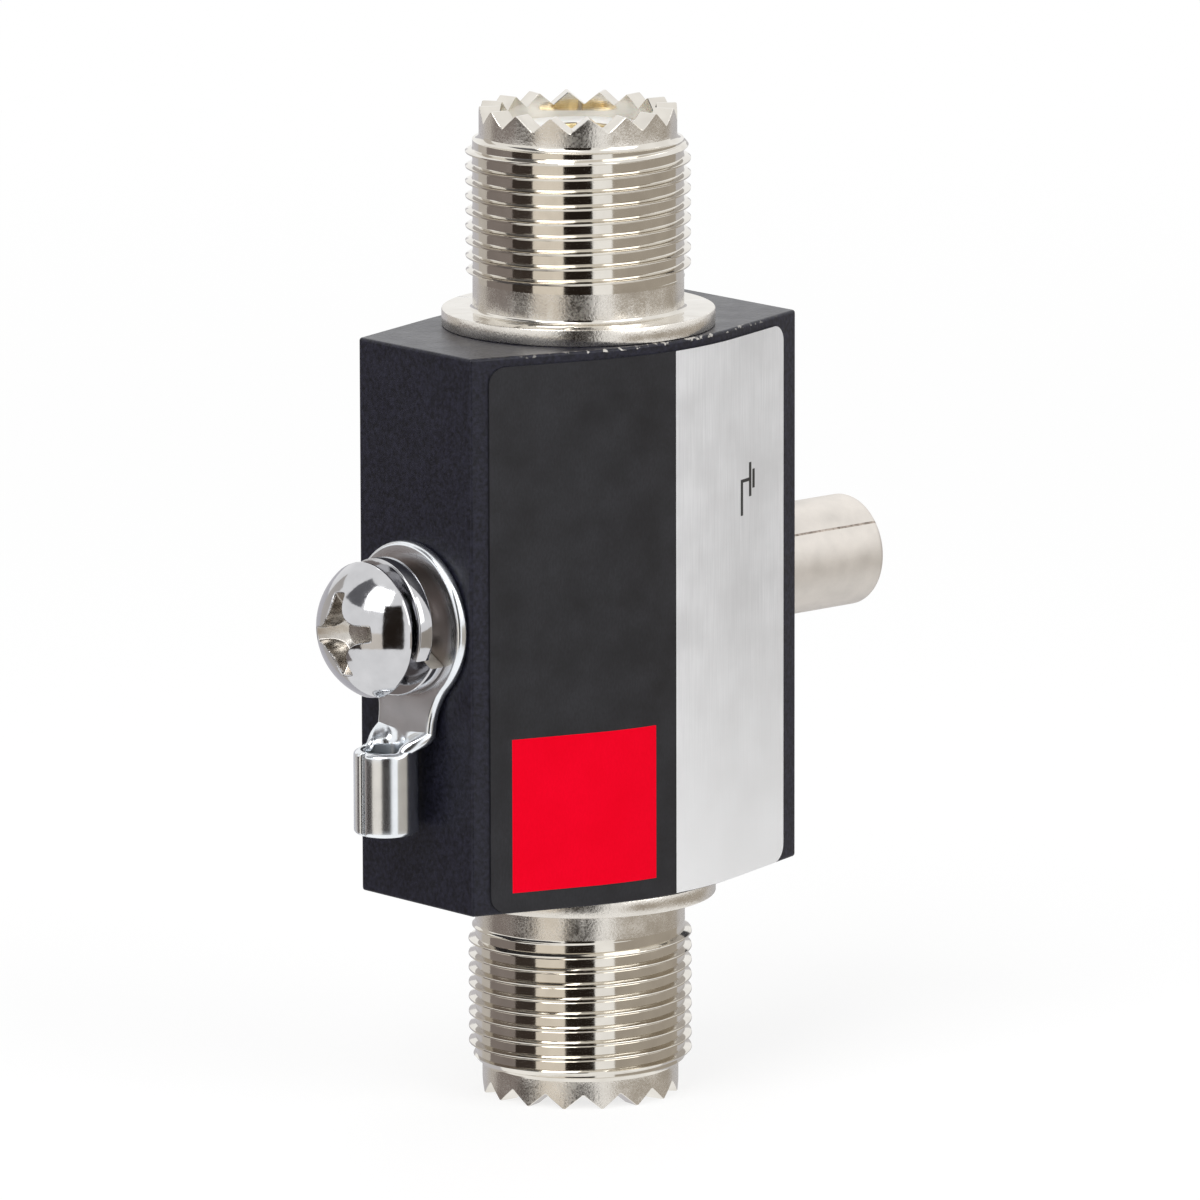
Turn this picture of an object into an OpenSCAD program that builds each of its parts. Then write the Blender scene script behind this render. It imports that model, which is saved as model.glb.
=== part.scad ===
// Coaxial lightning arrestor: a block with a threaded coax socket at each end,
// a gas discharge tube under a screw-in cap, and a grounding screw with its lug.
// Millimetres. The coax line runs along Z, the tube cap points to +X, the
// grounding screw to -X, and the label is on the -Y face.
// The origin is on the coax axis, in the mouth of the lower centre contact.

/* [Block] */
// Width across the two narrow side faces
body_w = 30.4; // [29:0.1:34]
// Height between the two connector flanges
body_h = 39.6; // [38:0.1:50]
// Width of each narrow side face
side_face_w = 12; // [11.5:0.1:14]
// Ledge of the block in front of and behind the flange, at the ridge
flange_ledge = 0.18; // [0.05:0.01:1]
// Radius of the ridge where the two slopes meet
ridge_r = 21.5; // [12:0.5:24]
// Diameter of the air space around the inner conductor
cavity_d = 11; // [9.5:0.1:12]
// Height of the cap's and the screw's axis above the middle of the block
port_rise = 0.4; // [0:0.1:1]

/* [Connector shell] */
// Outside diameter of the coupling thread
thread_d = 15.875; // [15.4:0.005:16.5]
// Length of the coupling thread
thread_len = 9.2; // [7:0.1:12]
// Bevel at both ends of the thread
thread_bevel = 0.5; // [0.2:0.05:0.7]
// Diameter of the plain neck between flange and thread
neck_d = 14.9; // [14:0.1:15.2]
// Length of the plain neck
neck_len = 2.8; // [2:0.1:4]
// Diameter of the flange on the block
flange_d = 19.3; // [17:0.1:19.6]
// Thickness of the flange
flange_t = 1.2; // [0.8:0.1:2]
// Outside diameter of the toothed crown
crown_d = 13.95; // [13.2:0.05:14.4]
// Length of the crown, teeth included
crown_len = 2.4; // [2:0.1:3.5]
// Bore of the shell, which holds the insulator
shell_bore_d = 11.1; // [10.6:0.1:11.6]
// Number of teeth around the crown
tooth_count = 16; // [12:1:20]
// Height of the teeth
tooth_h = 1.05; // [0.6:0.05:1.2]
// Flat left on each tip, as a share of the tooth pitch
tip_land = 0.06; // [0.03:0.01:0.2]
// Turn of the upper crown about the axis, in degrees
upper_crown_turn = 10.5; // [0:0.5:22.5]
// Turn of the lower crown about the axis, in degrees
lower_crown_turn = 16.8; // [0:0.1:22.5]
// Diameter of the spigot inside the block
spigot_d = 13; // [12.6:0.1:13.6]
// Length of the spigot inside the block
spigot_len = 6; // [4:0.1:8]

/* [Insulator and contacts] */
// Depth of the insulator face below the tooth tips
face_recess = 1.7; // [1.2:0.1:2.2]
// Diameter of the insulator inside the spigot
insulator_nose_d = 9; // [8:0.1:10]
// Outside diameter of the centre contact
contact_d = 5.6; // [5.2:0.1:6.4]
// Bore of the centre contact, for a plug's pin
socket_d = 4.1; // [3.96:0.02:4.3]
// Depth of the contact's bore
socket_depth = 10; // [8:0.1:12]
// Width of the slots that let the contact spring open
contact_slot_w = 0.5; // [0.3:0.05:0.7]
// Length of those slots
contact_slot_len = 8; // [5:0.1:9]
// Diameter of the collar behind the insulator
collar_d = 7.2; // [6.6:0.1:8.5]
// Length of that collar
collar_len = 3.4; // [3.2:0.1:4]
// Diameter of the inner conductor
conductor_d = 4; // [3.6:0.1:5]
// Diameter of the tenons that join it to the contacts
tenon_d = 2.8; // [2.2:0.1:3.2]
// Length of those tenons
tenon_len = 2.8; // [2:0.1:3]
// Depth of the flat that the gas tube stands on
flat_depth = 0.4; // [0.2:0.05:0.8]
// Length of that flat
flat_len = 8; // [6:0.1:10]

/* [Gas tube and spring] */
// Outside diameter of the gas tube
tube_d = 5.5; // [5:0.1:5.7]
// Length of the gas tube over its electrodes
tube_len = 8; // [6:0.1:9]
// Wall of the ceramic ring
ceramic_wall = 0.8; // [0.6:0.05:1]
// Diameter of the electrode discs
electrode_d = 5; // [4.6:0.1:5]
// Thickness of the electrode discs
electrode_t = 1; // [0.6:0.1:1.4]
// Diameter of the electrode points inside the ceramic
electrode_point_d = 2.4; // [1.6:0.1:3]
// Spark gap between the two points
spark_gap = 0.8; // [0.4:0.1:1.2]
// Outside diameter of the contact spring
spring_d = 5; // [4:0.1:5.6]
// Diameter of the spring's wire
spring_wire_d = 0.5; // [0.3:0.05:0.7]
// Number of turns of the spring
spring_turns = 7; // [4:1:9]

/* [Tube cap] */
// Diameter of the cap outside the block
cap_d = 8; // [7.6:0.1:9]
// Reach of the cap outside the block
cap_reach = 10.5; // [8:0.1:14]
// Diameter of the threaded shank inside the block
shank_d = 7; // [6.8:0.1:7.4]
// Length of the threaded shank
shank_len = 9; // [7:0.1:9.6]
// Bore of the cap
cap_bore_d = 5.9; // [5.8:0.05:6.2]
// Thickness of the cap's closed end
cap_end_t = 3.7; // [3:0.1:5]
// Round on the cap's outer edge
cap_edge_r = 0.5; // [0.2:0.1:1]
// Size across the flats of the key socket in the cap's end
key_af = 4; // [3:0.1:5]
// Depth of the key socket
key_depth = 2; // [1:0.1:2.5]

/* [Grounding screw] */
// Thread diameter of the grounding screw
screw_d = 4.9; // [4.6:0.05:5]
// Length of the screw below its head
screw_len = 10.5; // [8:0.1:11]
// Point of the screw, bevel length
screw_point = 0.6; // [0.3:0.1:1]
// Depth of the tapped hole in the block
tapped_depth = 8; // [7.5:0.1:8.5]
// Diameter of the head
head_d = 9.6; // [9:0.1:10]
// Height of the head
head_h = 3.1; // [2.6:0.1:4]
// Height of the head's straight rim
head_rim_h = 0.15; // [0.1:0.05:1.2]
// Gap left between the head and the spring washer
head_gap = 0.5; // [0.1:0.1:1]
// Span of the cross recess on the dome of the head
recess_span = 5.9; // [4:0.1:6.4]
// Width of the recess's wings at their ends
recess_wing_w = 1; // [0.6:0.1:1.4]
// Radius of the hollow corners between the wings
recess_corner_r = 1.8; // [0.6:0.1:2]
// Depth of the recess
recess_depth = 2.2; // [1.5:0.1:2.4]
// Turn of the recess about the screw, in degrees
recess_turn = 8; // [-45:1:45]

/* [Spring washer] */
// Outside diameter of the spring washer
washer_d = 9.8; // [8.6:0.1:10.2]
// Bore of the washer
washer_bore_d = 5.2; // [5.1:0.05:5.6]
// Thickness of the washer
washer_t = 1.2; // [0.8:0.1:1.4]
// Height of the uncompressed washer, end to end
washer_free_h = 2.84; // [2.4:0.02:3.2]
// Opening between the washer's ends, in degrees
washer_split = 10; // [8:1:30]
// Place of the washer's lower end, clockwise from the top, in degrees
washer_end_place = 120; // [0:5:355]

/* [Ring lug] */
// Thickness of the lug's sheet
lug_t = 0.9; // [0.6:0.05:1.1]
// Outside diameter of the ring
ring_d = 11.7; // [10.8:0.1:11.9]
// Hole in the ring, for the screw
ring_bore_d = 5.3; // [5.1:0.05:5.6]
// Width of the tongue at its waist
waist_w = 5.7; // [5:0.1:6.4]
// Distance from the screw's axis to the waist
waist_drop = 7; // [6.6:0.1:7.4]
// Outside diameter of the crimp barrel
barrel_d = 4.6; // [4.2:0.1:5.2]
// Length of the crimp barrel
barrel_len = 5.8; // [4:0.1:8]
// Distance from the screw's axis to the start of the barrel
barrel_start = 8.9; // [8.4:0.1:10]
// Distance by which the bent tongue lifts the barrel off the block
tongue_lift = 0.4; // [0.1:0.1:0.8]
// Radius of the fillets between the tongue and the barrel
ear_r = 1.3; // [0.8:0.1:2]
// Width of the barrel's seam
seam_w = 0.15; // [0.1:0.05:0.3]

/* [Label] */
// Thickness of the label
label_t = 0.15; // [0.1:0.05:0.3]
// Thickness of the printed fields on it
print_t = 0.03; // [0.02:0.01:0.06]
// Reach of the label from the ridge towards the screw side
label_left = 13.95; // [13:0.05:14.4]
// Reach of the label from the ridge towards the cap side
label_right = 13.3; // [13:0.05:14.4]
// Bare strip above the label
label_top_margin = 0.7; // [0.3:0.05:2]
// Bare strip below the label
label_bottom_margin = 0.15; // [0.1:0.05:2]
// Corner radius of the label
label_corner_r = 1.2; // [0.5:0.1:2]
// Start of the silver field, from the ridge
silver_start = 0.3; // [0:0.1:3]
// Distance from the ridge to the red field's near edge
red_start = 1.53; // [1:0.01:3]
// Width of the red field, measured across the block
red_w = 10.9; // [8:0.1:11]
// Height of the red field
red_h = 10.95; // [8:0.05:14]
// Distance from the block's lower edge to the red field
red_rise = 1.5; // [1:0.1:4]

/* [Fits] */
// Radial room between pieces that are pressed or soldered together
still_gap = 0.02; // [0.01:0.01:0.05]
// Radial room between a screw thread and its tapped hole
thread_gap = 0.05; // [0.02:0.01:0.08]
// Room between faces that slide or part when a screw turns
face_gap = 0.04; // [0.02:0.01:0.06]

/* [Hidden] */
$fn = 96;

// Heights along the coax axis
shell_reach = flange_t + neck_len + thread_len + crown_len;
body_bottom = shell_reach - face_recess;
body_middle = body_bottom + body_h / 2;
body_top = body_bottom + body_h;
port_z = body_middle + port_rise;
thread_start = flange_t + neck_len;
thread_end = thread_start + thread_len;

// Outline of the block: the flange sets its depth at the ridge, and each sloping
// face runs from the edge of a side face to where it touches the ridge's round
side_x = body_w / 2;
ridge_y = flange_d / 2 + flange_ledge;
ridge_centre_y = ridge_y - ridge_r;
side_rise = side_face_w / 2 - ridge_centre_y;
face_slope = atan2(side_x, side_rise) - acos(ridge_r / norm([side_x, side_rise]));

// Coax line
contact_back = spigot_len + collar_len;
flat_x = conductor_d / 2 - flat_depth;

// Gas tube, spring and cap along X
tube_start = flat_x + face_gap;
tube_end = tube_start + tube_len;
cap_start = side_x - shank_len;
cap_end = side_x + cap_reach;
cap_floor = cap_end - cap_end_t;
point_len = (tube_len - spark_gap) / 2 - electrode_t;

// Stack under the grounding screw's head, outwards from the side face
lug_front = face_gap + lug_t;
washer_start = lug_front + face_gap;
head_start = washer_start + washer_free_h + head_gap;
barrel_axis = face_gap + tongue_lift + barrel_d / 2;
touching_r = (pow(waist_drop, 2) + pow(waist_w / 2, 2) - pow(ring_d / 2, 2)) / (ring_d - waist_w);
waist_r = 1.02 * touching_r;
tongue_start = waist_drop * ring_d / (ring_d + 2 * touching_r);
tongue_root = 0.78 * ring_d / 2;
tongue_slope = atan2(tongue_lift, barrel_start - tongue_start);
barrel_bore_d = barrel_d - 2 * lug_t;

// Steps per turn and sides of the wound pieces
coil_steps = 24;
wire_sides = 8;
over = 1;

// Frames: each child is drawn with +Z pointing away from the block
module at_upper_end() translate([0, 0, body_top]) children();
module at_lower_end() translate([0, 0, body_bottom]) rotate([180, 0, 0]) children();
module at_cap_side() translate([0, 0, port_z]) rotate([0, 90, 0]) children();
module at_screw_side() translate([-side_x, 0, port_z]) rotate([0, -90, 0]) children();

// Solid of revolution from [radius, height] points
module turned(points) rotate_extrude() polygon(points);

// Points and triangles of a coil: a closed [radius, height] section swept
// around Z while it climbs
function coil_points(section, start, sweep, climb, steps) = [
    for (i = [0 : steps]) let (a = start + sweep * i / steps, z = climb * i / steps)
        for (p = section) [p[0] * cos(a), p[0] * sin(a), p[1] + z]
];

function coil_faces(sides, steps) = concat(
    [for (k = [1 : sides - 2]) [0, k, k + 1]],
    [for (i = [0 : steps - 1], k = [0 : sides - 1])
        let (b = i * sides, n = (k + 1) % sides) [b + k, b + sides + k, b + n]],
    [for (i = [0 : steps - 1], k = [0 : sides - 1])
        let (b = i * sides, n = (k + 1) % sides) [b + n, b + sides + k, b + sides + n]],
    [for (k = [1 : sides - 2]) let (b = steps * sides) [b, b + k + 1, b + k]]
);

function turned_round(faces) = [for (f = faces) [f[2], f[1], f[0]]];

module coil(section, start, sweep, climb) {
    steps = ceil(abs(sweep) / 360 * coil_steps);
    faces = coil_faces(len(section), steps);
    polyhedron(
        coil_points(section, start, sweep, climb, steps),
        sweep > 0 ? faces : turned_round(faces)
    );
}

// Block
module block_outline(grow = 0) {
    join_x = (ridge_r + grow) * sin(face_slope);
    join_y = ridge_centre_y + (ridge_r + grow) * cos(face_slope);
    side_y = side_face_w / 2 + grow / cos(face_slope);
    polygon([
        [-side_x, -side_y], [-join_x, -join_y], [join_x, -join_y], [side_x, -side_y],
        [side_x, side_y], [join_x, join_y], [-join_x, join_y], [-side_x, side_y]
    ]);
    intersection() {
        square([2 * join_x, 4 * ridge_y], center = true);
        translate([0, ridge_centre_y]) circle(ridge_r + grow);
        translate([0, -ridge_centre_y]) circle(ridge_r + grow);
    }
}

module body() {
    color("#1d1e24") difference() {
        translate([0, 0, body_bottom]) linear_extrude(body_h) block_outline();
        translate([0, 0, body_bottom - over]) cylinder(d = cavity_d, h = body_h + 2 * over);
        at_upper_end() spigot_bore();
        at_lower_end() spigot_bore();
        at_cap_side() cylinder(d = shank_d + 2 * thread_gap, h = side_x + over);
        at_screw_side() translate([0, 0, -tapped_depth])
            cylinder(d = screw_d + 2 * thread_gap, h = tapped_depth + over);
    }
}

module spigot_bore() translate([0, 0, -spigot_len])
    cylinder(d = spigot_d + 2 * still_gap, h = spigot_len + over);

// Label
module label_window(x_from, x_to, z_from, z_to) translate([x_from, -2 * ridge_y, z_from])
    cube([x_to - x_from, 2 * ridge_y, z_to - z_from]);

module label_outline() {
    width = label_left + label_right - 2 * label_corner_r;
    height = body_h - label_top_margin - label_bottom_margin - 2 * label_corner_r;
    translate([-label_left, body_bottom + label_bottom_margin]) {
        translate([label_corner_r, 0]) square([width, height + 2 * label_corner_r]);
        translate([0, label_corner_r]) square([width + 2 * label_corner_r, height]);
        for (x = [0, width], y = [0, height])
            translate([x + label_corner_r, y + label_corner_r]) circle(label_corner_r);
    }
}

module label_sheet(thickness) intersection() {
    translate([0, 0, body_bottom]) linear_extrude(body_h) difference() {
        block_outline(thickness);
        block_outline();
    }
    rotate([90, 0, 0]) linear_extrude(2 * ridge_y) label_outline();
}

module front_label() {
    red_bottom = body_bottom + red_rise;
    color("#222227") label_sheet(label_t);
    color("#d4d4d8") intersection() {
        label_sheet(label_t + print_t);
        label_window(silver_start, side_x, body_bottom, body_top);
    }
    color("#fa0528") intersection() {
        label_sheet(label_t + print_t);
        label_window(-red_start - red_w, -red_start, red_bottom, red_bottom + red_h);
    }
}

// Coax connectors
module crown_notches(turn) {
    // Each notch is a straight V whose floor falls away from the axis, so the
    // teeth keep their shape from the bore to the outside
    pitch = 360 / tooth_count;
    fall = atan(tooth_h / (crown_d / 2));
    half_w = crown_d / 2 * tan(pitch / 2 * (1 - tip_land));
    rise = 3 * tooth_h;
    for (i = [0 : tooth_count - 1])
        rotate([0, fall, turn + (i + 0.5) * pitch])
            rotate([90, 0, 90]) linear_extrude(crown_d)
                polygon([[0, 0], [half_w * rise / tooth_h, rise], [-half_w * rise / tooth_h, rise]]);
}

module connector_shell(turn) {
    bore_r = shell_bore_d / 2;
    nose_r = insulator_nose_d / 2 + still_gap;
    difference() {
        turned([
            [nose_r, -spigot_len], [spigot_d / 2, -spigot_len], [spigot_d / 2, 0],
            [flange_d / 2, 0], [flange_d / 2, flange_t],
            [neck_d / 2, flange_t], [neck_d / 2, thread_start],
            [thread_d / 2 - thread_bevel, thread_start],
            [thread_d / 2, thread_start + thread_bevel],
            [thread_d / 2, thread_end - thread_bevel],
            [thread_d / 2 - thread_bevel, thread_end],
            [crown_d / 2, thread_end], [crown_d / 2, shell_reach],
            [bore_r, shell_reach], [bore_r, 0], [nose_r, 0]
        ]);
        translate([0, 0, shell_reach]) crown_notches(turn);
    }
}

module insulator() {
    outer_r = shell_bore_d / 2 - still_gap;
    hole_r = contact_d / 2 + still_gap;
    nose_r = insulator_nose_d / 2;
    turned([
        [hole_r, -spigot_len], [nose_r, -spigot_len], [nose_r, 0],
        [outer_r, 0], [outer_r, shell_reach - face_recess], [hole_r, shell_reach - face_recess]
    ]);
}

module center_contact() {
    mouth = shell_reach - face_recess;
    difference() {
        turned([
            [0, -contact_back], [collar_d / 2, -contact_back], [collar_d / 2, -spigot_len],
            [contact_d / 2, -spigot_len], [contact_d / 2, mouth], [0, mouth]
        ]);
        translate([0, 0, mouth - socket_depth]) cylinder(d = socket_d, h = socket_depth + over);
        translate([0, 0, -contact_back - over])
            cylinder(d = tenon_d + 2 * still_gap, h = tenon_len + still_gap + over);
        for (a = [45, 135])
            rotate(a) translate([-contact_d, -contact_slot_w / 2, mouth - contact_slot_len])
                cube([2 * contact_d, contact_slot_w, contact_slot_len + over]);
    }
}

module upper_connector_shell() color("#b9b4aa") at_upper_end() connector_shell(upper_crown_turn);
module lower_connector_shell() color("#b9b4aa") at_lower_end() connector_shell(-lower_crown_turn);
module upper_insulator() color("#f4f4f0") at_upper_end() insulator();
module lower_insulator() color("#f4f4f0") at_lower_end() insulator();
module upper_center_contact() color("#c8b98a") at_upper_end() center_contact();
module lower_center_contact() color("#c8b98a") at_lower_end() center_contact();

module center_conductor() {
    rod_bottom = body_bottom + contact_back;
    rod_top = body_top - contact_back;
    color("#c8b98a") difference() {
        turned([
            [0, rod_bottom - tenon_len], [tenon_d / 2, rod_bottom - tenon_len],
            [tenon_d / 2, rod_bottom], [conductor_d / 2, rod_bottom],
            [conductor_d / 2, rod_top], [tenon_d / 2, rod_top],
            [tenon_d / 2, rod_top + tenon_len], [0, rod_top + tenon_len]
        ]);
        translate([flat_x, -conductor_d, port_z - flat_len / 2])
            cube([conductor_d, 2 * conductor_d, flat_len]);
    }
}

// Gas discharge tube, drawn along the cap's axis
module gas_tube_ceramic() color("#f2efe6") at_cap_side()
    translate([0, 0, tube_start + electrode_t]) difference() {
        cylinder(d = tube_d, h = tube_len - 2 * electrode_t);
        translate([0, 0, -over])
            cylinder(d = tube_d - 2 * ceramic_wall, h = tube_len + 2 * over);
    }

module electrode() turned([
    [0, 0], [electrode_d / 2, 0], [electrode_d / 2, electrode_t],
    [electrode_point_d / 2, electrode_t],
    [electrode_point_d / 2, electrode_t + point_len], [0, electrode_t + point_len]
]);

module gas_tube_inner_electrode() color("#b8b8ba") at_cap_side()
    translate([0, 0, tube_start]) electrode();

module gas_tube_outer_electrode() color("#b8b8ba") at_cap_side()
    translate([0, 0, tube_end]) rotate([180, 0, 0]) electrode();

module contact_spring() {
    wire_r = spring_wire_d / 2;
    mean_r = spring_d / 2 - wire_r;
    first = tube_end + still_gap + wire_r;
    last = cap_floor - face_gap - wire_r;
    wire = [for (k = [0 : wire_sides - 1]) let (a = k * 360 / wire_sides)
        [mean_r + wire_r * cos(a), first + wire_r * sin(a)]];
    color("#c9c9cc") at_cap_side() coil(wire, 0, 360 * spring_turns, last - first);
}

module tube_cap() {
    edge = [for (a = [0 : 15 : 90])
        [cap_d / 2 - cap_edge_r + cap_edge_r * cos(a), cap_end - cap_edge_r + cap_edge_r * sin(a)]];
    color("#b6ada3") at_cap_side() difference() {
        turned(concat(
            [
                [cap_bore_d / 2, cap_start], [shank_d / 2, cap_start],
                [shank_d / 2, side_x + face_gap], [cap_d / 2, side_x + face_gap]
            ],
            edge,
            [[0, cap_end], [0, cap_floor], [cap_bore_d / 2, cap_floor]]
        ));
        translate([0, 0, cap_end - key_depth])
            cylinder(d = key_af / cos(30), h = key_depth + over, $fn = 6);
    }
}

// Grounding screw, its spring washer and the ring lug
module ring_lug() {
    tube_len = barrel_len + ear_r;
    tongue_top = lug_front + tongue_lift;
    sink = 0.01;
    color("#d2d3d6") at_screw_side() difference() {
        union() {
            translate([0, 0, face_gap]) linear_extrude(lug_t) ring_outline();
            translate([-tongue_start, 0, face_gap + sink]) rotate([0, tongue_slope, 0])
                translate([tongue_start, 0, 0]) linear_extrude(lug_t - 2 * sink) tongue_outline();
            translate([-barrel_start - barrel_len, 0, barrel_axis]) rotate([0, 90, 0])
                cylinder(d = barrel_d, h = tube_len);
        }
        translate([0, 0, -over]) cylinder(d = ring_bore_d, h = lug_t + 2 * over);
        translate([-barrel_start - barrel_len - over, 0, barrel_axis]) rotate([0, 90, 0])
            cylinder(d = barrel_bore_d, h = tube_len + over);
        translate([-barrel_start - barrel_len - over, -seam_w / 2, barrel_axis])
            cube([tube_len + over, seam_w, barrel_d]);
        translate([-barrel_start + ear_r, 0, tongue_top + ear_r]) rotate([90, 0, 0])
            cylinder(r = ear_r, h = 2 * ring_d, center = true);
        translate([-barrel_start, -ring_d, tongue_top + ear_r])
            cube([ear_r + over, 2 * ring_d, barrel_d]);
    }
}

module ring_outline() {
    intersection() {
        circle(d = ring_d);
        translate([-tongue_root, -ring_d]) square(2 * ring_d);
    }
}

// Sheet below the ring's bend: its hollow sides pass the waist and end at the barrel
module tongue_outline() {
    waisted_strip(tongue_start, waist_drop);
    polygon([
        [-waist_drop + 0.5, waist_w / 4], [-waist_drop, waist_w / 2], [-barrel_start, barrel_d / 2],
        [-barrel_start, -barrel_d / 2], [-waist_drop, -waist_w / 2], [-waist_drop + 0.5, -waist_w / 4]
    ]);
}

// Sheet between two distances below the screw, with the tongue's hollow sides
module waisted_strip(from, to) {
    difference() {
        translate([-to, -ring_d / 2]) square([to - from, ring_d]);
        for (s = [-1, 1]) translate([-waist_drop, s * (waist_w / 2 + waist_r)]) circle(waist_r);
    }
}

module spring_washer() {
    inner = washer_bore_d / 2;
    outer = washer_d / 2;
    section = [
        [inner, washer_start], [outer, washer_start],
        [outer, washer_start + washer_t], [inner, washer_start + washer_t]
    ];
    color("#c6c7ca") at_screw_side()
        coil(section, -washer_end_place, washer_split - 360, washer_free_h - washer_t);
}

module ground_screw() {
    dome_h = head_h - head_rim_h;
    dome_r = (pow(head_d / 2, 2) + pow(dome_h, 2)) / (2 * dome_h);
    head_top = head_start + head_h;
    tip = head_start - screw_len;
    color("#cfd0d3") at_screw_side() difference() {
        union() {
            turned([
                [0, tip], [screw_d / 2 - screw_point, tip], [screw_d / 2, tip + screw_point],
                [screw_d / 2, head_start], [head_d / 2, head_start],
                [head_d / 2, head_start + head_rim_h], [0, head_start + head_rim_h]
            ]);
            intersection() {
                translate([0, 0, head_top - dome_r]) sphere(dome_r);
                translate([0, 0, head_start + head_rim_h / 2]) cylinder(d = head_d, h = head_h);
            }
        }
        intersection() {
            edge_z = head_top - dome_r + sqrt(pow(dome_r, 2) - pow(recess_span / 2, 2));
            translate([0, 0, head_top - recess_depth - over])
                linear_extrude(recess_depth + 2 * over) rotate(recess_turn) recess_outline();
            turned([
                [0, head_top - recess_depth], [recess_span / 6, head_top - recess_depth],
                [recess_span / 2, edge_z], [recess_span / 2, head_top + over], [0, head_top + over]
            ]);
        }
    }
}

// Cross with hollow corners between its four wings
module recess_outline() {
    half = recess_wing_w / 2;
    corner = half + recess_corner_r;
    difference() {
        square(recess_span, center = true);
        for (a = [0 : 90 : 270]) rotate(a) {
            translate([corner, corner]) circle(recess_corner_r);
            translate([corner, half]) square(recess_span);
            translate([half, corner]) square(recess_span);
        }
    }
}

body();
front_label();
upper_connector_shell();
upper_insulator();
upper_center_contact();
lower_connector_shell();
lower_insulator();
lower_center_contact();
center_conductor();
gas_tube_ceramic();
gas_tube_inner_electrode();
gas_tube_outer_electrode();
contact_spring();
tube_cap();
ring_lug();
spring_washer();
ground_screw();
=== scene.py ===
"""Looks of a coax lightning arrestor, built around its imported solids.

Sizes are in millimetres, as the part is drawn, and MM turns them into metres. The coax line runs
along Z, the tube cap points to +X, the grounding screw to -X, and the label is on the -Y face.
"""
import math

import bmesh
import bpy
from mathutils import Matrix, Vector


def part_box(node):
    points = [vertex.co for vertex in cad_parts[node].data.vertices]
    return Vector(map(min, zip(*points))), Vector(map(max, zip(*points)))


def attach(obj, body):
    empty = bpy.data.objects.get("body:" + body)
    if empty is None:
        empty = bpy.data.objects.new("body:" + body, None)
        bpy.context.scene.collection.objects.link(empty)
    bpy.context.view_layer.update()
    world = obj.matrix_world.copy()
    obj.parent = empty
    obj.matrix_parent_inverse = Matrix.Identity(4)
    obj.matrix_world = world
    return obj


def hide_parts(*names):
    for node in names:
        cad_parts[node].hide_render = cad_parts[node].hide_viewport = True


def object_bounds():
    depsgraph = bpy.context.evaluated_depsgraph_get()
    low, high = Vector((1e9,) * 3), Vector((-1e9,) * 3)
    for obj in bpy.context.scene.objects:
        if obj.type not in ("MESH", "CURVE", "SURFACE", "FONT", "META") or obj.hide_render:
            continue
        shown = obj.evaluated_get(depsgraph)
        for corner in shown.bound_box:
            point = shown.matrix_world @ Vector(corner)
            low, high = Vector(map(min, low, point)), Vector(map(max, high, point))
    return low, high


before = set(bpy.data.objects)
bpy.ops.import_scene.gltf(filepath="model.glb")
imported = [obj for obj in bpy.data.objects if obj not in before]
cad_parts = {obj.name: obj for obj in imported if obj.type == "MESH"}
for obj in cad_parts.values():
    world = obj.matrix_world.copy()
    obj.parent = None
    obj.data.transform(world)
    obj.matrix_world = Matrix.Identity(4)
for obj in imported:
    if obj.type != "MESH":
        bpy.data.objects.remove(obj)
cad_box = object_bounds()

MM = 0.001
WELD = 1e-6  # metres
CUT_PAST = 1.0  # how far a cutter reaches past the face it opens


def box_mm(node):
    """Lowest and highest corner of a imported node, in millimetres."""
    return [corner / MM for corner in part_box(node)]


# Block
BODY_LOW, BODY_HIGH = box_mm("body")
SIDE_X = BODY_HIGH.x
RIDGE_Y = BODY_HIGH.y
BODY_BOTTOM = BODY_LOW.z
BODY_TOP = BODY_HIGH.z
MIDDLE_Z = (BODY_BOTTOM + BODY_TOP) / 2
PORT_Z = (box_mm("tube_cap")[0].z + box_mm("tube_cap")[1].z) / 2
SIDE_FACE_W = 12.0
RIDGE_R = 21.5
CAVITY_D = 11.0
BLOCK_EDGE = 0.22
SPIGOT_FIT = 0.02
PORT_FIT = 0.05
SCREW_HOLE_DEPTH = 8.0
CHIPS_BELOW_TOP = (0.6, 0.3)  # where the chips begin and are full, below the top face
CHIPS_IN_FRONT = (-9.0, -6.5)  # where they are full and have ended, along Y
RIDGE_CENTRE_Y = RIDGE_Y - RIDGE_R
SIDE_RISE = SIDE_FACE_W / 2 - RIDGE_CENTRE_Y
FACE_SLOPE = math.atan2(SIDE_X, SIDE_RISE) - math.acos(RIDGE_R / math.hypot(SIDE_X, SIDE_RISE))

# Connector shells
SHELL_REACH = box_mm("upper_connector_shell")[1].z - BODY_TOP
FLANGE_R = box_mm("upper_connector_shell")[1].x
SPIGOT_LEN = BODY_TOP - box_mm("upper_connector_shell")[0].z
SPIGOT_D = 13.0
FLANGE_T = 1.2
NECK_R = 7.45
NECK_LEN = 2.8
NECK_FILLET = 0.3
THREAD_R = 7.9375
THREAD_LEN = 9.2
THREAD_PITCH = 25.4 / 24
THREAD_DEPTH = 0.5
THREAD_RUN_OUT = 0.7
NECK_END_GAP = 0.1  # from the plain neck to the run-out
CROWN_R = 6.975
CROWN_COVE = 0.42
SHELL_BORE_R = 5.55
NOSE_BORE_R = 4.52
TOOTH_COUNT = 16
TOOTH_H = 1.05
TIP_LAND = 0.06  # share of the tooth pitch
TOOTH_STEPS = (0.14, 0.26, 0.38, 0.475, 0.525, 0.62, 0.74, 0.86)
BELOW_TEETH = 1.5
UPPER_CROWN_TURN = 10.5  # degrees, as is the next
LOWER_CROWN_TURN = 16.8
UPPER_THREAD_TURN = 0.5  # pitches, as is the next
LOWER_THREAD_TURN = 0.0
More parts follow.
